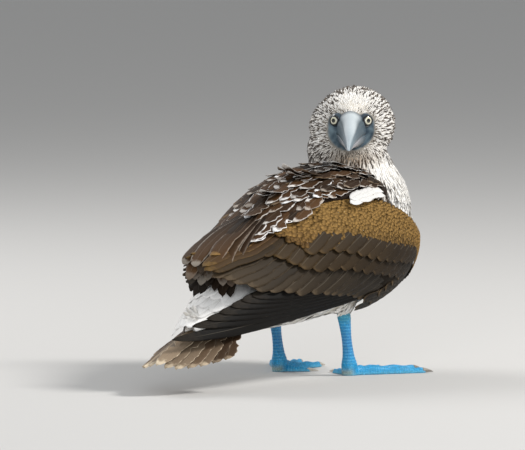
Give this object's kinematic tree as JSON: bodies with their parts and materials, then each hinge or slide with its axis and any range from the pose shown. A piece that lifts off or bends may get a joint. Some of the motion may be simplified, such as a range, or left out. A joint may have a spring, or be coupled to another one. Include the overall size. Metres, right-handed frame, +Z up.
{
  "type": "blue-footed booby",
  "caption": "Life-size still model of a blue-footed booby, standing with folded wings on webbed feet and looking back over its right shoulder.",
  "frame": {"origin": "on the floor, under the middle of the whole bird's outline seen from above", "axes": "+X forward, from the tail to the breast; +Y to the bird's left; +Z up"},
  "size_m": [0.4368, 0.1926, 0.2836],
  "materials": {
    "plumage_white": "soft white feathers over the body",
    "plumage_streaked": "white lance-shaped feathers with dark brown bases",
    "plumage_brown": "brown wing and mantle feathers with pale edges",
    "plumage_tail": "pale brown tail feathers with whitish tips",
    "bill": "satin grey-blue horn",
    "eye": "wet pale yellow iris with a small black pupil",
    "foot_skin": "matt bright blue scaly skin",
    "claw": "grey horn"
  },
  "bodies": {
    "root": {"torso": "plumage_white", "thigh_right": "plumage_white", "thigh_left": "plumage_white", "neck": "plumage_streaked", "head": "plumage_streaked", "mantle": "plumage_brown", "wing_right": "plumage_brown", "wing_left": "plumage_brown", "tail": "plumage_tail", "bill_upper": "bill", "bill_lower": "bill", "eye_right": "eye", "eye_left": "eye", "leg_right": "foot_skin", "leg_left": "foot_skin", "foot_right": "foot_skin", "foot_left": "foot_skin", "claw_outer_right": "claw", "claw_middle_right": "claw", "claw_inner_right": "claw", "claw_hind_right": "claw", "claw_outer_left": "claw", "claw_middle_left": "claw", "claw_inner_left": "claw", "claw_hind_left": "claw"}
  },
  "joints": []
}
